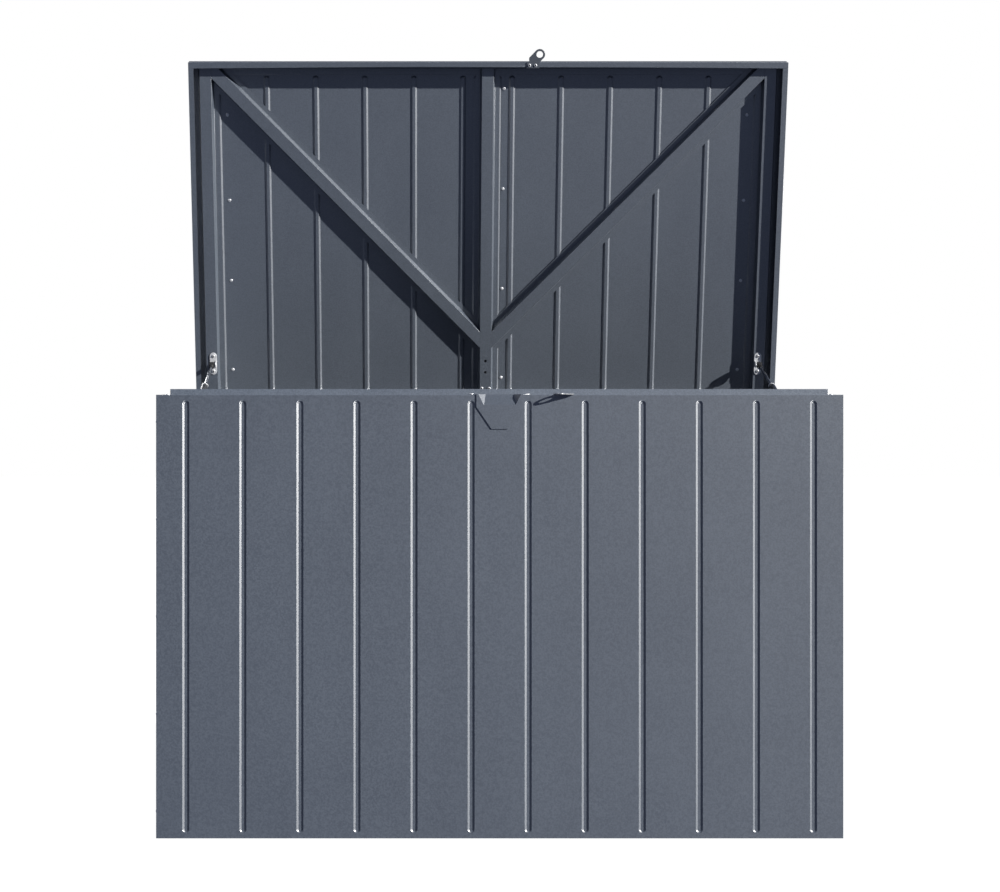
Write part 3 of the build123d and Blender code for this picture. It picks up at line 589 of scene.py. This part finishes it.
def strutRod(upper, down, start, end, values=gasStrut):
    r = values["rodRadius"]
    profile = [(0.0, start)] + [(r * a, start + b) for a, b in values["rodOutline"]]
    profile += [(r * a, end - b) for a, b in values["rodTip"]] + [(0.0, end)]
    mesh = spun(profile, values["steps"], upper, down)
    smoothBy(mesh, 30)
    return mesh


def ballStud(ball, outward, length, values=gasStrut):
    r, shank, neck = values["ballRadius"], values["studRadius"], values["neckRadius"]
    arc = [math.radians(a) for a in range(*values["ballArc"])]
    profile = [(r * math.sin(a), r * math.cos(a)) for a in arc]
    profile += [(neck, r * b) for b in values["neckSpan"]]
    profile += [(shank * a, r * b) for a, b in values["shoulder"]]
    profile += [(shank * a, length - b) for a, b in values["studTip"]] + [(0.0, length)]
    mesh = spun(profile, values["steps"], ball, outward)
    smoothBy(mesh, 34)
    return mesh


for side in ("left", "right"):
    wallBall = Vector(jointOf[f"{side}_strut_pivot"]["pos_m"])
    down = Vector(jointOf[f"{side}_rod_slide"]["axis"]).normalized()
    lidBall = Vector((wallBall.x, *boxCentre(f"{side}_lid_ball_stud").yz))
    node = f"{side}_strut_tube"
    tube = strutTube(wallBall, -down)
    tube = finishPiece(tube, node + "Finished", node, finish["tube"], [node])
    tube.data.materials.append(finish["zincBracket"])
    node = f"{side}_strut_rod"
    rodLow = min((v.co - lidBall).dot(down) for v in nodes[node].data.vertices)
    rodHigh = max((v.co - lidBall).dot(down) for v in nodes[node].data.vertices)
    rod = strutRod(lidBall, down, rodLow, rodHigh)
    finishPiece(rod, node + "Finished", node, finish["rod"], [node])
    for node in (f"{side}_strut_tube_socket", f"{side}_strut_rod_socket"):
        softened(node, "socket", *fittingWork["socketRadii"])
    for node, ball in ((f"{side}_lid_ball_stud", lidBall), (f"{side}_wall_ball_stud", wallBall)):
        low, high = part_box(node)
        ends = (low.x - ball.x, high.x - ball.x)
        reach = max(ends, key=abs)
        stud = ballStud(ball, Vector((math.copysign(1, reach), 0, 0)), abs(reach))
        finishPiece(stud, node + "Finished", bodyOf[node], finish["stud"], [node])
print("gas struts made")

# floor, light and camera
studio = {
    "floorSize": 60.0,
    "floorGap": 0.0002,
    "floorGrain": 40.0,
    "floorShade": 0.985,
    "floorRoughness": 0.9,
    "floorColour": (0.1, 0.1, 0.1),
    "floorGlow": 0.92,
    "skyColour": (0.68, 0.82, 1.26),
    "skyStrength": 0.135,
    "backdropColour": (1.0, 1.0, 1.0),
    "keyTravel": (-1.73, 1.0, -0.787),
    "keyColour": (1.0, 0.985, 0.96),
    "keyStrength": 7.5,
    "keyAngle": 1.0,
    "backFillTravel": (0.75, -1.0, -0.5),
    "backFillColour": (1.0, 0.99, 0.97),
    "backFillStrength": 2.6,
    "backFillAngle": 40.0,
    "cameraPlace": (-0.2, -5.1, 0.8927),
    "lens": 72.74,
    "sensor": 36.0,
    "farthest": 200.0,
    "shiftX": 0.0873,
    "shiftY": 0.0041,
}
floorMesh = bmesh.new()
bmesh.ops.create_grid(floorMesh, x_segments=8, y_segments=8, size=studio["floorSize"])
bmesh.ops.translate(floorMesh, verts=floorMesh.verts, vec=(0, 0, -studio["floorGap"]))
floorData = bpy.data.meshes.new("paleFloor")
floorMesh.to_mesh(floorData)
floorMesh.free()
floorMat, floorTree, floorShader, floorCoords = newMaterial("paleFloor")
floorGrain = addNoise(floorTree, floorCoords, studio["floorGrain"], 4.0)
shadedFloor = [c * studio["floorShade"] for c in studio["floorColour"]]
floorTint = addMix(floorTree, floorGrain, studio["floorColour"], shadedFloor)
floorTree.links.new(floorTint, floorShader.inputs["Base Color"])
floorShader.inputs["Roughness"].default_value = studio["floorRoughness"]
floorShader.inputs["Emission Color"].default_value = (1.0, 1.0, 1.0, 1.0)
floorShader.inputs["Emission Strength"].default_value = studio["floorGlow"]
floorData.materials.append(floorMat)
paleFloorPiece = bpy.data.objects.new("paleFloor", floorData)
bpy.context.scene.collection.objects.link(paleFloorPiece)
paleFloorPiece.visible_diffuse = False  # a pale floor that throws no light back up at the steel
paleFloorPiece.visible_glossy = False

world = bpy.data.worlds.new("softStudio")
world.use_nodes = True
worldTree = world.node_tree
sky = worldTree.nodes["Background"]
sky.inputs["Color"].default_value = (*studio["skyColour"], 1.0)
sky.inputs["Strength"].default_value = studio["skyStrength"]
backdrop = worldTree.nodes.new("ShaderNodeBackground")
backdrop.inputs["Color"].default_value = (*studio["backdropColour"], 1.0)
rays = worldTree.nodes.new("ShaderNodeLightPath")
pick = worldTree.nodes.new("ShaderNodeMixShader")
worldTree.links.new(rays.outputs["Is Camera Ray"], pick.inputs["Fac"])
worldTree.links.new(sky.outputs["Background"], pick.inputs[1])
worldTree.links.new(backdrop.outputs["Background"], pick.inputs[2])
worldTree.links.new(pick.outputs["Shader"], worldTree.nodes["World Output"].inputs["Surface"])
bpy.context.scene.world = world


def addSun(name, values=studio):
    sun = bpy.data.lights.new(name, "SUN")
    sun.energy = values[name + "Strength"]
    sun.color = values[name + "Colour"]
    sun.angle = math.radians(values[name + "Angle"])
    lamp = bpy.data.objects.new(name, sun)
    lamp.rotation_euler = Vector(values[name + "Travel"]).to_track_quat("-Z", "Y").to_euler()
    bpy.context.scene.collection.objects.link(lamp)


addSun("key")
addSun("backFill")

cameraData = bpy.data.cameras.new("camera")
cameraData.lens = studio["lens"]
cameraData.sensor_width = studio["sensor"]
cameraData.shift_x = studio["shiftX"]
cameraData.shift_y = studio["shiftY"]
cameraData.clip_end = studio["farthest"]
camera = bpy.data.objects.new("camera", cameraData)
camera.location = studio["cameraPlace"]
camera.rotation_euler = (math.radians(90), 0, 0)
bpy.context.scene.collection.objects.link(camera)
bpy.context.scene.camera = camera
bpy.context.scene.view_settings.view_transform = "Standard"
bpy.context.scene.view_settings.look = "None"
print("floor, light and camera placed")
